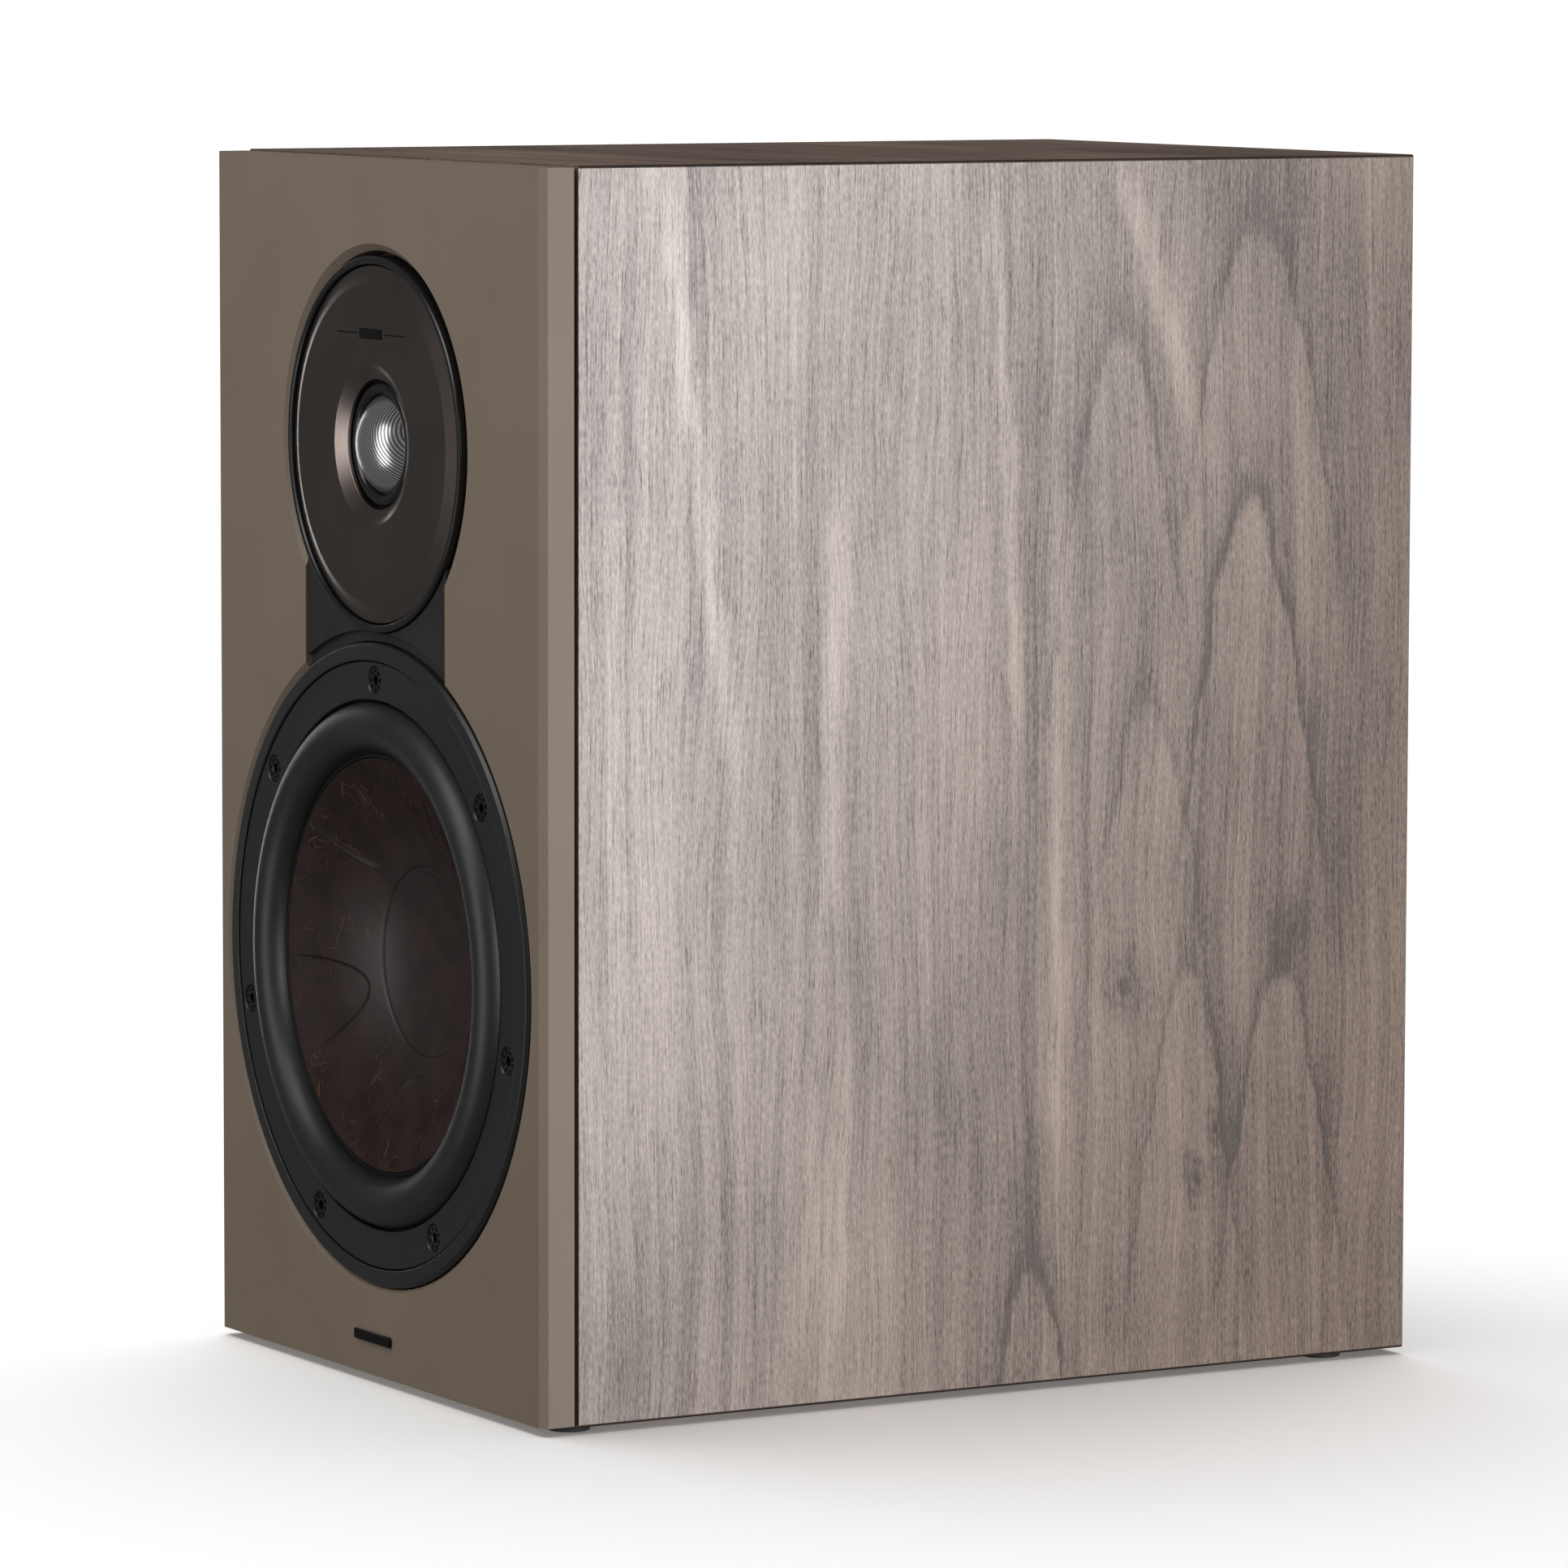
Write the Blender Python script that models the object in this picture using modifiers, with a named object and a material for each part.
"""A two-way bookshelf speaker: cabinet, woofer, tweeter, crossover, bass port and binding posts.

Units are metres. The front faces -Y, +X is to the right as seen from the front, and +Z is up. The origin
lies on the surface that the feet stand on, below the middle of the whole object.
"""

import math

import bmesh
import bpy
from mathutils import Euler, Matrix, Vector

# ---------------------------------------------------------------- driving dimensions

MM = 0.001
GAP = 0.0003                     # clearance between pieces that touch

CABINET_WIDTH = 0.202
CABINET_HEIGHT = 0.350
SPEAKER_DEPTH = 0.287            # from the baffle's front to the cabinet's back
PANEL = 0.015                    # thickness of the cabinet's boards
MITRE_SETBACK = 0.000212         # leaves GAP between two mitred faces

BAFFLE_THICKNESS = 0.0102
BAFFLE_INSET = 0.0005            # from the cabinet's outline
BAFFLE_CHAMFER = 0.002
SHADOW_GAP = 0.0011              # between the baffle and the cabinet's front edges
SUB_BAFFLE_THICKNESS = 0.018

FOOT_RADIUS = 0.006
FOOT_HEIGHT = 0.0016
FOOT_X = 0.091
FOOT_FROM_FRONT = 0.0135
FOOT_FROM_BACK = 0.0225

WOOFER_HEIGHT = 0.1193           # above the cabinet's underside
WOOFER_CUT_OUT = 0.0930
WOOFER_RING_OUTER = 0.0926
WOOFER_SEAT_HOLE = 0.0760        # hole in the sub-baffle
SCREW_CIRCLE = 0.0820
SCREW_COUNT = 7
SCREW_SHAFT = 0.0017
SCREW_HOLE = 0.0021
SCREW_HEAD = 0.0035
SCREW_RECESS = 0.0041
ROLL_CREST = 0.004               # how far the surround stands in front of the baffle
ROLL_MIDDLE = 0.0685
CONE_RADIUS = 0.0594
CONE_DEPTH = 0.0227              # of the dish's middle behind the baffle's front
CONE_BEND = 0.0273               # radius where the curved middle runs into the straight flank
CONE_SLOPE = 0.449
CONE_THICKNESS = 0.001

TWEETER_HEIGHT = 0.2685
TWEETER_CUT_OUT = 0.0551
TWEETER_RING_OUTER = 0.0536
TWEETER_SEAT_HOLE = 0.0309
DOME_RADIUS = 0.0140
DOME_BASE = -0.0033
DOME_RISE = 0.0072

NECK_HALF_WIDTH = 0.0432         # opening that joins the two round cut-outs
NECK_PLATE_SETBACK = 0.0006

BADGE_WIDTH = 0.022
BADGE_HEIGHT = 0.003
BADGE_CENTRE_X = -0.001
BADGE_ABOVE_BOTTOM = 0.0115

PORT_HEIGHT = 0.262
PORT_BORE = 0.0190
PORT_PANEL_HOLE = 0.0324
PORT_LENGTH = 0.104

CUP_HEIGHT = 0.085
CUP_HALF_WIDTH = 0.030
CUP_HALF_HEIGHT = 0.023
CUP_WALL = 0.003
CUP_FLANGE = 0.009
CUP_FLANGE_THICKNESS = 0.0025
CUP_DEPTH = 0.018
POST_SPACING = 0.019
POST_LENGTH = 0.0256             # from the cup's floor to the end of a closed cap

RING_STEPS = 32
MOTOR_STEPS = 24
TWEETER_STEPS = 24
SMALL_STEPS = 12

# ---------------------------------------------------------------- places worked out from them

POST_REACH = POST_LENGTH - CUP_DEPTH
FRONT = -(SPEAKER_DEPTH + POST_REACH - ROLL_CREST) / 2
BACK = FRONT + SPEAKER_DEPTH
BOTTOM = FOOT_HEIGHT + GAP
TOP = BOTTOM + CABINET_HEIGHT
CARCASS_FRONT = FRONT + BAFFLE_THICKNESS + SHADOW_GAP
SUB_BAFFLE_FRONT = FRONT + BAFFLE_THICKNESS + GAP
SUB_BAFFLE_BACK = SUB_BAFFLE_FRONT + SUB_BAFFLE_THICKNESS
INSIDE_X = CABINET_WIDTH / 2 - PANEL - GAP
INSIDE_BOTTOM = BOTTOM + PANEL + GAP
INSIDE_TOP = TOP - PANEL - GAP
REAR_PANEL_FRONT = BACK - PANEL
WOOFER_Z = BOTTOM + WOOFER_HEIGHT
TWEETER_Z = BOTTOM + TWEETER_HEIGHT
PORT_Z = BOTTOM + PORT_HEIGHT
CUP_Z = BOTTOM + CUP_HEIGHT
BOARD_BOTTOM = INSIDE_BOTTOM
BOARD_TOP = BOARD_BOTTOM + 0.0016

FACING_FRONT = Euler((math.radians(90), 0, 0))
FACING_BACK = Euler((math.radians(-90), 0, 0))
UPRIGHT = Euler((0, 0, 0))

# material name: base colour, roughness, metallic
FINISHES = {
    "veneer": ((0.42, 0.36, 0.31), 0.5, 0.0),
    "fibreboard": ((0.36, 0.26, 0.17), 0.8, 0.0),
    "taupe": ((0.20, 0.17, 0.14), 0.45, 0.0),
    "black_plastic": ((0.025, 0.025, 0.026), 0.45, 0.0),
    "bronze_plastic": ((0.05, 0.042, 0.037), 0.4, 0.3),
    "rubber": ((0.03, 0.03, 0.031), 0.6, 0.0),
    "wood_fibre": ((0.05, 0.024, 0.02), 0.6, 0.0),
    "silver_fabric": ((0.45, 0.45, 0.45), 0.4, 0.4),
    "spider_cloth": ((0.42, 0.27, 0.10), 0.9, 0.0),
    "steel": ((0.45, 0.45, 0.46), 0.35, 1.0),
    "ferrite": ((0.045, 0.045, 0.05), 0.7, 0.2),
    "copper": ((0.72, 0.32, 0.16), 0.3, 1.0),
    "aluminium": ((0.62, 0.62, 0.63), 0.35, 1.0),
    "circuit_board": ((0.10, 0.16, 0.06), 0.5, 0.0),
    "polyester": ((0.72, 0.72, 0.70), 0.95, 0.0),
    "ceramic": ((0.75, 0.73, 0.68), 0.7, 0.0),
    "gold": ((0.83, 0.62, 0.25), 0.25, 1.0),
    "red_plastic": ((0.45, 0.02, 0.02), 0.35, 0.0),
}


# ---------------------------------------------------------------- helpers

def clear_scene():
    """Remove everything that the new file brings."""
    for item in list(bpy.data.objects):
        bpy.data.objects.remove(item, do_unlink=True)


def new_collection(name):
    """A collection of the scene."""
    collection = bpy.data.collections.new(name)
    bpy.context.scene.collection.children.link(collection)
    return collection


def new_material(name, colour, roughness, metallic):
    """A plain Principled material."""
    material = bpy.data.materials.new(name)
    material.use_nodes = True
    shader = material.node_tree.nodes["Principled BSDF"]
    shader.inputs["Base Color"].default_value = (*colour, 1.0)
    shader.inputs["Roughness"].default_value = roughness
    shader.inputs["Metallic"].default_value = metallic
    return material


def add_object(name, data, finish=None, location=(0, 0, 0), rotation=UPRIGHT, parent=None):
    """Put a piece in the speaker, or in the cutters when it has no finish."""
    item = bpy.data.objects.new(name, data)
    item.location = location
    item.rotation_euler = rotation
    item.parent = parent
    if finish:
        data.materials.append(MATERIALS[finish])
        SPEAKER.objects.link(item)
    else:
        CUTTERS.objects.link(item)
        item.display_type = "WIRE"
        item.hide_render = True
    return item


def box(name, low, high, finish=None, bevel=0.0, parent=None):
    """A box between two corners, with its origin in its middle."""
    low = Vector(low)
    high = Vector(high)
    shape = bmesh.new()
    bmesh.ops.create_cube(shape, size=1.0)
    bmesh.ops.scale(shape, vec=high - low, verts=shape.verts)
    mesh = bpy.data.meshes.new(name)
    shape.to_mesh(mesh)
    shape.free()
    item = add_object(name, mesh, finish, (low + high) / 2, parent=parent)
    if bevel:
        rounding = item.modifiers.new("Rounded edges", "BEVEL")
        rounding.width = bevel
        rounding.segments = 2
    return item


def turned(name, profile, finish=None, location=(0, 0, 0), rotation=UPRIGHT, parent=None, steps=RING_STEPS):
    """Turn a profile of (radius, height) points in millimetres about the piece's own Z axis.

    The points run outwards along the top, down the outer side and back. A profile whose ends lie on the
    axis is open there, and any other is closed into a ring.
    """
    shape = bmesh.new()
    corners = [shape.verts.new((radius * MM, 0.0, height * MM)) for radius, height in profile]
    for first, second in zip(corners, corners[1:]):
        shape.edges.new((first, second))
    if profile[0][0] > 0:
        shape.edges.new((corners[-1], corners[0]))
    mesh = bpy.data.meshes.new(name)
    shape.to_mesh(mesh)
    shape.free()
    item = add_object(name, mesh, finish, location, rotation, parent)
    turn = item.modifiers.new("Turned", "SCREW")
    turn.axis = "Z"
    turn.angle = math.tau
    turn.steps = steps
    turn.render_steps = steps
    turn.use_merge_vertices = True
    turn.merge_threshold = 0.00001
    turn.use_smooth_shade = True
    return item


def rods(name, places, radius, low, high, parent=None, steps=8):
    """Parallel round cutters at the given (x, y) places, along the Z axis of the parent."""
    shape = bmesh.new()
    for x, y in places:
        bmesh.ops.create_cone(shape, cap_ends=True, segments=steps, radius1=radius, radius2=radius,
                              depth=high - low, matrix=Matrix.Translation((x, y, (low + high) / 2)))
    mesh = bpy.data.meshes.new(name)
    shape.to_mesh(mesh)
    shape.free()
    return add_object(name, mesh, parent=parent)


def combine(item, other, operation):
    """Add or take away another piece's shape."""
    step = item.modifiers.new(operation.title(), "BOOLEAN")
    step.operation = operation
    step.solver = "EXACT"
    step.object = other


def cut(item, *cutters):
    """Take the cutters' shapes away."""
    for cutter in cutters:
        combine(item, cutter, "DIFFERENCE")


def axis_empty(name, location, rotation):
    """An empty whose Z axis is the axis of the pieces under it."""
    empty = bpy.data.objects.new(name, None)
    empty.empty_display_size = 0.02
    empty.location = location
    empty.rotation_euler = rotation
    SPEAKER.objects.link(empty)
    return empty


def smooth_route(points, per_span):
    """Points of a Catmull-Rom curve through the given ones."""
    knots = [Vector(point) for point in points]
    knots = [2 * knots[0] - knots[1]] + knots + [2 * knots[-1] - knots[-2]]
    route = []
    for p0, p1, p2, p3 in zip(knots, knots[1:], knots[2:], knots[3:]):
        for step in range(per_span):
            t = step / per_span
            route.append(0.5 * (2 * p1 + (p2 - p0) * t + (2 * p0 - 5 * p1 + 4 * p2 - p3) * t ** 2
                                + (3 * p1 - p0 - 3 * p2 + p3) * t ** 3))
    route.append(knots[-2])
    return route


def lead(name, points, radius, finish):
    """A round lead along a smooth route."""
    route = smooth_route(points, 3)
    curve = bpy.data.curves.new(name, "CURVE")
    curve.dimensions = "3D"
    curve.bevel_depth = radius
    curve.bevel_resolution = 2
    curve.use_fill_caps = True
    spline = curve.splines.new("POLY")
    spline.points.add(len(route) - 1)
    for point, place in zip(spline.points, route):
        point.co = (*place, 1.0)
    return add_object(name, curve, finish)


# ---------------------------------------------------------------- cabinet

def mitred_board(name, length, location, angle):
    """A board along the cabinet's depth whose two long ends are cut at 45 degrees.

    Its outer face is the top face of a box that is then turned about the Y axis.
    """
    depth = BACK - CARCASS_FRONT
    outer = length - 2 * MITRE_SETBACK
    shape = bmesh.new()
    bmesh.ops.create_cube(shape, size=1.0)
    bmesh.ops.scale(shape, vec=(outer, depth, PANEL), verts=shape.verts)
    for corner in shape.verts:
        if corner.co.z < 0:
            corner.co.x -= math.copysign(PANEL, corner.co.x)
    mesh = bpy.data.meshes.new(name)
    shape.to_mesh(mesh)
    shape.free()
    return add_object(name, mesh, "veneer", location, Euler((0, math.radians(angle), 0)))


def make_carcass():
    """The four veneered boards that make the box."""
    middle_y = (CARCASS_FRONT + BACK) / 2
    middle_z = (BOTTOM + TOP) / 2
    side_x = (CABINET_WIDTH - PANEL) / 2
    mitred_board("cabinet_top_panel", CABINET_WIDTH, (0, middle_y, TOP - PANEL / 2), 0)
    mitred_board("cabinet_bottom_panel", CABINET_WIDTH, (0, middle_y, BOTTOM + PANEL / 2), 180)
    mitred_board("cabinet_right_panel", CABINET_HEIGHT, (side_x, middle_y, middle_z), 90)
    mitred_board("cabinet_left_panel", CABINET_HEIGHT, (-side_x, middle_y, middle_z), -90)


def make_rear_panel():
    """The board between the carcass's rear edges, with the port's and the terminals' holes."""
    panel = box("rear_panel", (-INSIDE_X, REAR_PANEL_FRONT, INSIDE_BOTTOM), (INSIDE_X, BACK, INSIDE_TOP),
                "fibreboard")
    port_hole = rods("port_hole", [(0, 0)], PORT_PANEL_HOLE, -2 * PANEL, PANEL, steps=MOTOR_STEPS)
    port_hole.location = (0, BACK, PORT_Z)
    port_hole.rotation_euler = FACING_BACK
    clearance_x = CUP_HALF_WIDTH + GAP
    clearance_z = CUP_HALF_HEIGHT + GAP
    cup_hole = box("cup_hole", (-clearance_x, BACK - 2 * PANEL, CUP_Z - clearance_z),
                   (clearance_x, BACK + PANEL, CUP_Z + clearance_z))
    cut(panel, port_hole, cup_hole)


def make_baffles(woofer, tweeter):
    """The inner board that carries the drivers, and the lacquered front plate over it."""
    inner = box("sub_baffle", (-INSIDE_X, SUB_BAFFLE_FRONT, INSIDE_BOTTOM),
                (INSIDE_X, SUB_BAFFLE_BACK, INSIDE_TOP), "fibreboard")
    seats = [rods("woofer_seat_hole", [(0, 0)], WOOFER_SEAT_HOLE, -0.06, 0.02, woofer, RING_STEPS),
             rods("tweeter_seat_hole", [(0, 0)], TWEETER_SEAT_HOLE, -0.06, 0.02, tweeter, TWEETER_STEPS),
             rods("pilot_holes", screw_places(), SCREW_HOLE, -0.06, 0.02, woofer)]
    cut(inner, *seats)

    half_width = CABINET_WIDTH / 2 - BAFFLE_INSET
    plate = box("front_baffle", (-half_width, FRONT, BOTTOM + BAFFLE_INSET),
                (half_width, FRONT + BAFFLE_THICKNESS, TOP - BAFFLE_INSET), "taupe")
    chamfer_front_uprights(plate.data)
    for name, radius, bevel, driver in (("woofer_cut_out", WOOFER_CUT_OUT, 0.0014, woofer),
                                        ("tweeter_cut_out", TWEETER_CUT_OUT, 0.0020, tweeter)):
        inside = radius / MM
        mouth = inside + bevel / MM
        profile = [(0, 5), (mouth + 5, 5), (inside, -bevel / MM), (inside, -20), (0, -20)]
        cut(plate, turned(name, profile, parent=driver))
    neck = box("neck_opening", (-NECK_HALF_WIDTH, FRONT - PANEL, WOOFER_Z + 0.06),
               (NECK_HALF_WIDTH, FRONT + 2 * PANEL, TWEETER_Z - 0.03))
    cut(plate, neck)


def chamfer_front_uprights(mesh):
    """Chamfer the two upright edges at the front of the baffle."""
    shape = bmesh.new()
    shape.from_mesh(mesh)
    uprights = []
    for edge in shape.edges:
        first, second = (vertex.co for vertex in edge.verts)
        if abs(first.z - second.z) > 0.1 and first.y < 0 and second.y < 0:
            uprights.append(edge)
    bmesh.ops.bevel(shape, geom=uprights, offset=BAFFLE_CHAMFER, segments=1, affect="EDGES")
    shape.to_mesh(mesh)
    shape.free()


def make_neck_plate(woofer, tweeter):
    """The flat black plate between the two driver rings."""
    half_width = NECK_HALF_WIDTH - GAP
    plate = box("neck_plate", (-half_width, FRONT + NECK_PLATE_SETBACK, WOOFER_Z + 0.07),
                (half_width, FRONT + BAFFLE_THICKNESS, TWEETER_Z - 0.025), "black_plastic")
    around_woofer = rods("around_woofer", [(0, 0)], WOOFER_RING_OUTER + GAP, -0.05, 0.05, woofer, RING_STEPS)
    around_tweeter = rods("around_tweeter", [(0, 0)], TWEETER_RING_OUTER + GAP, -0.05, 0.05, tweeter,
                          RING_STEPS)
    cut(plate, around_woofer, around_tweeter)


def make_brace():
    """A window brace across the cabinet, between the two drivers."""
    low = (-INSIDE_X, SUB_BAFFLE_BACK + GAP, BOTTOM + 0.198)
    high = (INSIDE_X, REAR_PANEL_FRONT - GAP, BOTTOM + 0.210)
    brace = box("cabinet_brace", low, high, "fibreboard")
    window = box("brace_window", (-0.055, FRONT + 0.070, BOTTOM + 0.18), (0.055, BACK - 0.050, BOTTOM + 0.23))
    cut(brace, window)


def make_feet():
    """Four thin round pads under the cabinet's corners."""
    number = 0
    for y in (FRONT + FOOT_FROM_FRONT, BACK - FOOT_FROM_BACK):
        for x in (-FOOT_X, FOOT_X):
            number += 1
            height = FOOT_HEIGHT / MM
            radius = FOOT_RADIUS / MM
            profile = [(0, height), (radius, height), (radius, 0.3), (radius - 0.3, 0), (0, 0)]
            turned(f"foot_{number}", profile, "rubber", (x, y, 0), steps=SMALL_STEPS)


def make_cabinet_details():
    """The plain badge on the baffle and the wadding on the rear panel."""
    badge_z = BOTTOM + BADGE_ABOVE_BOTTOM
    box("badge_bar", (BADGE_CENTRE_X - BADGE_WIDTH / 2, FRONT - 0.0011, badge_z - BADGE_HEIGHT / 2),
        (BADGE_CENTRE_X + BADGE_WIDTH / 2, FRONT - GAP, badge_z + BADGE_HEIGHT / 2), "aluminium")
    box("damping_wool", (-0.080, REAR_PANEL_FRONT - 0.030, BOTTOM + 0.125),
        (0.080, REAR_PANEL_FRONT - GAP, BOTTOM + 0.195), "polyester", bevel=0.006)


# ---------------------------------------------------------------- woofer

def screw_places():
    """Centres of the woofer's screws round its axis, the first at the top."""
    angles = [math.pi / 2 + math.tau * index / SCREW_COUNT for index in range(SCREW_COUNT)]
    return [(SCREW_CIRCLE * math.cos(angle), SCREW_CIRCLE * math.sin(angle)) for angle in angles]


def dish_height(radius):
    """Height of the cone's front surface at a radius, in millimetres."""
    bend = CONE_BEND / MM
    if radius < bend:
        return -CONE_DEPTH / MM + CONE_SLOPE * radius ** 2 / (2 * bend)
    return -CONE_DEPTH / MM + CONE_SLOPE * (radius - bend / 2)


def make_woofer_diaphragm(axis):
    """The dished cone, its rubber surround, the voice coil and the spider."""
    radii = [0, 9, 18, CONE_BEND / MM, 43, CONE_RADIUS / MM]
    front = [(radius, dish_height(radius)) for radius in radii]
    back = [(radius, height - CONE_THICKNESS / MM) for radius, height in reversed(front)]
    turned("woofer_cone", front + back, "wood_fibre", parent=axis)

    crest = ROLL_CREST / MM
    middle = ROLL_MIDDLE / MM
    outer_face = [(59.7, -1.8)]
    inner_face = [(59.7, -2.6)]
    for index in range(7):
        turn = math.pi * index / 6
        base = -3.1 + 0.5 * math.cos(turn)
        rise = crest + 3.1
        outer_face.append((middle - 7.2 * math.cos(turn), base + rise * math.sin(turn)))
        inner_face.append((middle - 6.4 * math.cos(turn), base - 0.5 + (rise - 0.3) * math.sin(turn)))
    outer_face.append((79.8, -3.6))
    inner_face.append((79.8, -4.3))
    turned("woofer_surround", outer_face + inner_face[::-1], "rubber", parent=axis)

    coil = [(19.0, -21.0), (19.6, -21.0), (19.6, -46.3), (20.5, -46.3), (20.5, -60.3), (19.0, -60.3)]
    turned("woofer_voice_coil", coil, "copper", parent=axis, steps=MOTOR_STEPS)

    upper = [(19.95, -31.0), (22.0, -31.6)]
    for index in range(7):
        radius = 25.0 + 3.0 * index
        upper.append((radius, -31.9 + 1.2 * math.sin(math.pi * (index + 0.5))))
    upper.append((49.5, -31.9))
    lower = [(radius, height - 0.7) for radius, height in reversed(upper)]
    turned("woofer_spider", upper + lower, "spider_cloth", parent=axis, steps=MOTOR_STEPS)


def make_woofer_frame(axis):
    """The trim ring, the bezel, the spoked basket and its gasket."""
    ring = [(87.6, 0.3), (88.4, 0.6), (91.6, 0.4), (92.6, -0.6), (92.6, -10.2), (87.6, -10.2)]
    turned("woofer_trim_ring", ring, "black_plastic", parent=axis)

    bezel = turned("woofer_bezel",
                   [(76.2, -0.3), (76.6, 0), (86.9, 0), (87.2, -0.3), (87.2, -4.3), (80.2, -4.3), (80.2, -3.2),
                    (76.2, -3.2)], "black_plastic", parent=axis)
    recesses = rods("screw_recesses", screw_places(), SCREW_RECESS, -0.0027, 0.005, axis, steps=12)
    holes = rods("bezel_holes", screw_places(), SCREW_HOLE, -0.02, 0.001, axis)
    cut(bezel, recesses, holes)

    basket = turned("woofer_basket",
                    [(73.4, -4.6), (87.2, -4.6), (87.2, -9.4), (75.6, -9.4), (75.6, -17.0), (51.5, -35.2),
                     (46.5, -35.2), (46.5, -50.0), (22.0, -50.0), (22.0, -48.0), (44.0, -48.0), (44.0, -33.0),
                     (50.0, -33.0), (73.4, -15.4)], "aluminium", parent=axis)
    cut(basket, basket_windows(axis), holes)

    gasket = turned("woofer_gasket", [(77.0, -9.7), (87.2, -9.7), (87.2, -10.2), (77.0, -10.2)], "rubber",
                    parent=axis)
    cut(gasket, holes)


def basket_windows(axis):
    """Six radial windows in the sloping wall of the basket."""
    shape = bmesh.new()
    for index in range(6):
        turn = Matrix.Rotation(math.tau * index / 6, 4, "Z")
        size = Matrix.Diagonal((0.030, 0.034, 0.013, 1.0))
        bmesh.ops.create_cube(shape, size=1.0, matrix=turn @ Matrix.Translation((0.065, 0, -0.0245)) @ size)
    mesh = bpy.data.meshes.new("basket_windows")
    shape.to_mesh(mesh)
    shape.free()
    return add_object("basket_windows", mesh, parent=axis)


def make_woofer_motor(axis):
    """The magnet between its two steel plates, and the lug for the leads."""
    turned("woofer_top_plate", [(21.1, -50.3), (45, -50.3), (45, -56.3), (21.1, -56.3)], "steel",
           parent=axis, steps=MOTOR_STEPS)
    turned("woofer_magnet", [(30, -56.6), (50, -56.6), (50, -72.6), (30, -72.6)], "ferrite",
           parent=axis, steps=MOTOR_STEPS)
    turned("woofer_yoke", [(5, -49.8), (18.6, -49.8), (18.6, -72.9), (45, -72.9), (45, -78.9), (5, -78.9)],
           "steel", parent=axis, steps=MOTOR_STEPS)
    box("woofer_terminal_lug", (-0.009, -0.0498, -0.048), (0.009, -0.0468, -0.037), "circuit_board",
        parent=axis)


def make_woofer_screws(axis):
    """Seven socket screws through the bezel and the basket into the sub-baffle."""
    head = SCREW_HEAD / MM
    shaft = SCREW_SHAFT / MM
    profile = [(0, -1.9), (1.5, -1.9), (1.5, -0.5), (head - 0.4, -0.5), (head, -0.9), (head, -2.4),
               (shaft, -2.4), (shaft, -25.0), (0, -26.5)]
    for number, (x, y) in enumerate(screw_places(), start=1):
        turned(f"woofer_screw_{number}", profile, "steel", (x, y, 0), parent=axis, steps=8)


# ---------------------------------------------------------------- tweeter

def make_tweeter_front(axis):
    """The trim ring and the faceplate with its short waveguide."""
    outer = TWEETER_RING_OUTER / MM
    ring = [(51.3, 0.2), (51.8, 0.6), (outer - 0.5, 0.6), (outer, 0.1), (outer, -10.2), (51.3, -10.2)]
    turned("tweeter_trim_ring", ring, "black_plastic", parent=axis)
    plate = [(18.4, -2.2), (18.6, -1.3), (23.1, 0.8), (45.6, 1.0), (50.9, -0.4), (50.9, -10.2), (30.6, -10.2),
             (30.6, -7.6), (26.5, -7.6), (26.5, -4.3), (18.4, -4.3)]
    turned("tweeter_faceplate", plate, "bronze_plastic", parent=axis)


def make_tweeter_diaphragm(axis):
    """The fabric dome, its roll surround and the voice coil."""
    radius = DOME_RADIUS / MM
    base = DOME_BASE / MM
    rise = DOME_RISE / MM
    sphere = (radius ** 2 + rise ** 2) / (2 * rise)
    outside = []
    for index in range(7):
        place = radius * index / 6
        outside.append((place, base + rise - sphere + math.sqrt(sphere ** 2 - place ** 2)))
    inside = [(place, height - 0.5) for place, height in reversed(outside)]
    turned("tweeter_dome", outside + inside, "silver_fabric", parent=axis, steps=TWEETER_STEPS)

    roll = [(14.35, -3.0), (15.1, -2.2), (16.1, -1.8), (17.1, -2.2), (17.6, -3.3), (18.0, -3.3), (18.0, -4.3),
            (17.2, -4.3), (16.8, -2.9), (16.1, -2.4), (15.4, -2.8), (14.9, -3.6), (14.35, -3.6)]
    turned("tweeter_surround", roll, "rubber", parent=axis, steps=TWEETER_STEPS)
    turned("tweeter_voice_coil", [(12.95, -3.9), (13.6, -3.9), (13.6, -9.0), (12.95, -9.0)], "copper",
           parent=axis, steps=TWEETER_STEPS)


def make_tweeter_motor(axis):
    """The magnet between its plates, and the chamber behind them."""
    turned("tweeter_top_plate", [(14.0, -4.6), (26, -4.6), (26, -7.3), (14.0, -7.3)], "steel", parent=axis,
           steps=TWEETER_STEPS)
    turned("tweeter_magnet", [(16, -7.9), (30, -7.9), (30, -15.9), (16, -15.9)], "ferrite", parent=axis,
           steps=TWEETER_STEPS)
    turned("tweeter_yoke", [(0, -4.6), (12.6, -4.6), (12.6, -16.2), (26, -16.2), (26, -19.2), (0, -19.2)],
           "steel", parent=axis, steps=TWEETER_STEPS)
    turned("tweeter_rear_chamber", [(22, -19.5), (24, -19.5), (24, -31.5), (0, -31.5), (0, -29.5), (22, -29.5)],
           "black_plastic", parent=axis, steps=TWEETER_STEPS)


# ---------------------------------------------------------------- crossover and leads

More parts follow.
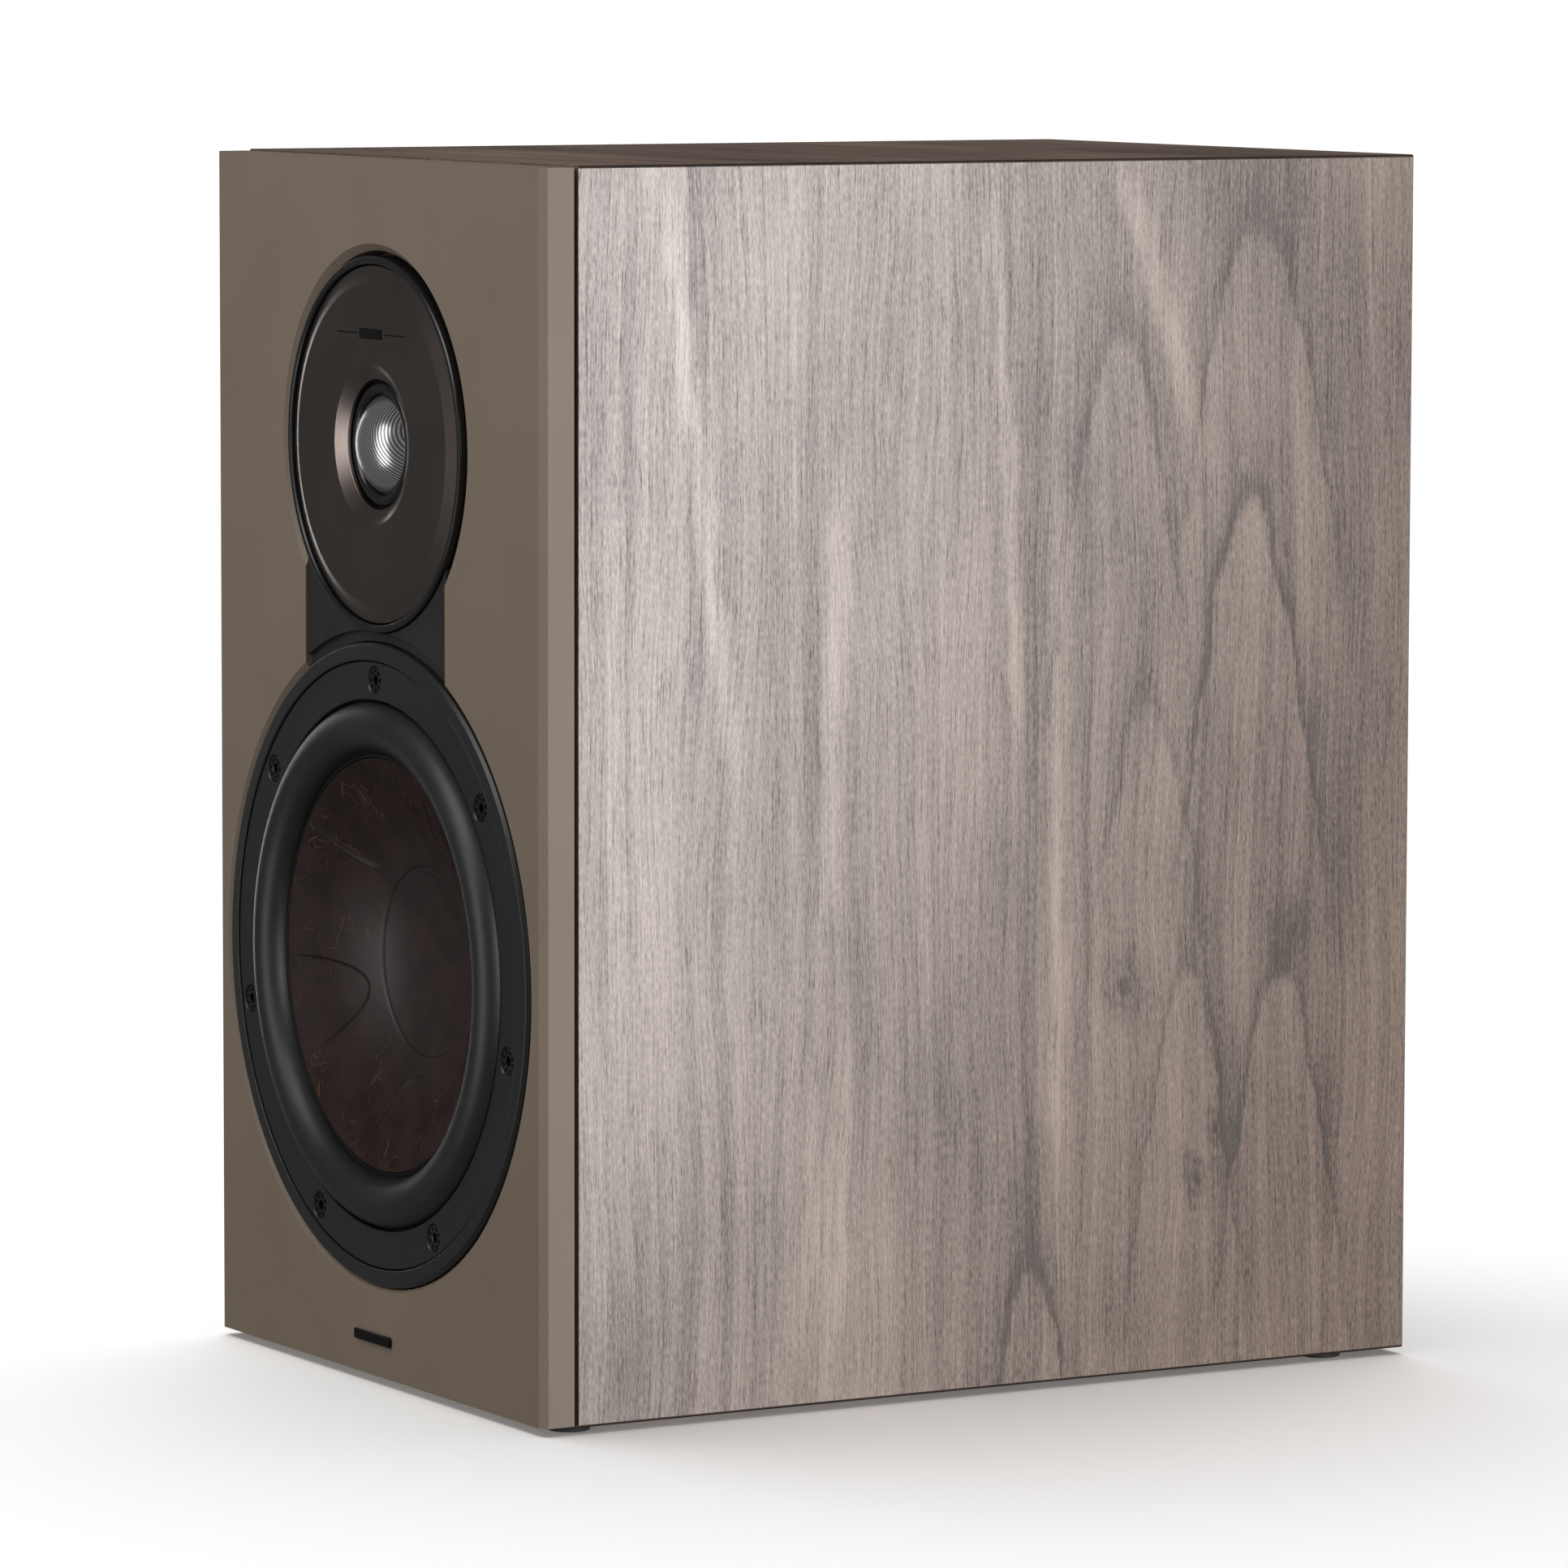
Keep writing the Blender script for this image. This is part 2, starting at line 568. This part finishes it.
def make_crossover():
    """The crossover's board and its parts, lying on the cabinet's bottom board."""
    middle_y = FRONT + 0.165
    box("crossover_board", (-0.065, middle_y - 0.055, BOARD_BOTTOM), (0.065, middle_y + 0.055, BOARD_TOP),
        "circuit_board")
    surface = BOARD_TOP + GAP
    turned("crossover_air_coil", [(9, 14), (22, 14), (22, 0), (9, 0)], "copper",
           (-0.038, middle_y - 0.025, surface), steps=SMALL_STEPS)
    box("crossover_iron_coil", (0.012, middle_y - 0.040, surface), (0.048, middle_y - 0.012, surface + 0.028),
        "copper", bevel=0.003)
    lying_along_x = Euler((0, math.radians(90), 0))
    for number, radius, length, x, y in ((1, 9.0, 34.0, -0.030, 0.022), (2, 7.0, 24.0, 0.012, 0.022)):
        profile = [(0, length / 2), (radius, length / 2), (radius, -length / 2), (0, -length / 2)]
        turned(f"crossover_capacitor_{number}", profile, "polyester",
               (x, middle_y + y, surface + radius * MM), lying_along_x, steps=SMALL_STEPS)
    box("crossover_resistor", (0.036, middle_y + 0.010, surface), (0.045, middle_y + 0.034, surface + 0.009),
        "ceramic")


def make_leads():
    """The leads between the terminals, the crossover and the drivers."""
    over_board = BOARD_TOP + 0.0026
    lead("lead_terminals",
         [(0, BACK - 0.0310, CUP_Z), (0, BACK - 0.0420, CUP_Z - 0.012), (0, BACK - 0.0440, BOTTOM + 0.045),
          (0, BACK - 0.0520, BOTTOM + 0.026), (0, FRONT + 0.2130, over_board)], 0.0016, "black_plastic")
    lug_z = WOOFER_Z - 0.0515
    lead("lead_woofer",
         [(0, FRONT + 0.0425, lug_z), (0, FRONT + 0.0560, lug_z - 0.012), (-0.004, FRONT + 0.0820, BOTTOM + 0.034),
          (-0.006, FRONT + 0.1000, BOTTOM + 0.0225), (-0.006, FRONT + 0.1180, over_board)], 0.0016,
         "black_plastic")
    lead("lead_tweeter",
         [(0.0580, FRONT + 0.1700, over_board), (0.0600, FRONT + 0.1850, BOTTOM + 0.030),
          (0.0560, FRONT + 0.1800, BOTTOM + 0.090), (0.0470, FRONT + 0.1600, BOTTOM + 0.150),
          (0.0420, FRONT + 0.1400, BOTTOM + 0.205), (0.0280, FRONT + 0.0900, BOTTOM + 0.250),
          (0.0080, FRONT + 0.0500, TWEETER_Z), (0.0060, FRONT + 0.0335, TWEETER_Z)], 0.0016, "black_plastic")


# ---------------------------------------------------------------- port and terminals

def make_port():
    """The bass port: a tube with a flared mouth on the rear panel."""
    bore = PORT_BORE / MM
    wall = bore + 2.5
    length = PORT_LENGTH / MM
    profile = [(30.5, 2.0), (36.0, 1.6), (36.0, 0.3), (32.0, 0.3), (32.0, -2.0), (26.0, -12.0), (wall, -26.0),
               (wall, -length + 8), (wall + 4, -length), (bore + 4, -length), (bore, -length + 10),
               (bore, -26.0), (22.0, -12.0), (26.0, -3.5)]
    turned("port_tube", profile, "black_plastic", (0, BACK, PORT_Z), FACING_BACK, steps=MOTOR_STEPS)


def make_terminal_cup():
    """The moulded cup that the two binding posts stand in."""
    flange_x = CUP_HALF_WIDTH + CUP_FLANGE
    flange_z = CUP_HALF_HEIGHT + CUP_FLANGE
    cup = box("terminal_cup", (-flange_x, BACK + GAP, CUP_Z - flange_z),
              (flange_x, BACK + GAP + CUP_FLANGE_THICKNESS, CUP_Z + flange_z), "black_plastic")
    floor = BACK - CUP_DEPTH
    body = box("cup_body", (-CUP_HALF_WIDTH, floor - CUP_WALL, CUP_Z - CUP_HALF_HEIGHT),
               (CUP_HALF_WIDTH, BACK + 0.001, CUP_Z + CUP_HALF_HEIGHT))
    recess_x = CUP_HALF_WIDTH - CUP_WALL
    recess_z = CUP_HALF_HEIGHT - CUP_WALL
    recess = box("cup_recess", (-recess_x, floor, CUP_Z - recess_z), (recess_x, BACK + PANEL, CUP_Z + recess_z))
    combine(cup, body, "UNION")
    stud_holes = rods("stud_holes", [(-POST_SPACING / 2, 0), (POST_SPACING / 2, 0)], 0.0034, -0.02, 0.01)
    stud_holes.location = (0, floor, CUP_Z)
    stud_holes.rotation_euler = FACING_BACK
    cut(cup, recess, stud_holes)


def make_binding_post(colour, x):
    """A fixed threaded stud, a washer that slides on it and a cap that screws down on the washer."""
    axis = axis_empty(f"{colour}_post_axis", (x, BACK - CUP_DEPTH, CUP_Z), FACING_BACK)
    stud = [(0, 21.0), (2.6, 21.0), (3.0, 20.6), (3.0, 5.0), (6.5, 5.0), (6.5, 0.3), (3.0, 0.3), (3.0, -3.3),
            (5.0, -3.3), (5.0, -6.0), (3.0, -6.0), (3.0, -10.0), (0, -10.0)]
    turned(f"post_stud_{colour}", stud, "gold", parent=axis, steps=SMALL_STEPS)
    turned(f"clamp_washer_{colour}", [(3.4, 7.1), (6.8, 7.1), (6.8, 5.3), (3.4, 5.3)], "gold", parent=axis,
           steps=SMALL_STEPS)
    end = POST_LENGTH / MM
    cap = [(0, end), (6.6, end), (7.5, end - 0.9), (7.5, 9.0), (6.9, 7.4), (3.4, 7.4), (3.4, 22.5), (0, 22.5)]
    finish = "red_plastic" if colour == "red" else "black_plastic"
    turned(f"post_cap_{colour}", cap, finish, parent=axis, steps=SMALL_STEPS)


# ---------------------------------------------------------------- the whole speaker

def make_speaker():
    """Every piece of the speaker."""
    woofer = axis_empty("woofer_axis", (0, FRONT, WOOFER_Z), FACING_FRONT)
    tweeter = axis_empty("tweeter_axis", (0, FRONT, TWEETER_Z), FACING_FRONT)
    make_carcass()
    make_rear_panel()
    make_baffles(woofer, tweeter)
    make_neck_plate(woofer, tweeter)
    make_brace()
    make_feet()
    make_cabinet_details()
    make_woofer_frame(woofer)
    make_woofer_diaphragm(woofer)
    make_woofer_motor(woofer)
    make_woofer_screws(woofer)
    make_tweeter_front(tweeter)
    make_tweeter_diaphragm(tweeter)
    make_tweeter_motor(tweeter)
    make_crossover()
    make_leads()
    make_port()
    make_terminal_cup()
    make_binding_post("red", POST_SPACING / 2)
    make_binding_post("black", -POST_SPACING / 2)


clear_scene()
MATERIALS = {name: new_material(name, *values) for name, values in FINISHES.items()}
SPEAKER = new_collection("bookshelf_speaker")
CUTTERS = new_collection("cutters")
make_speaker()
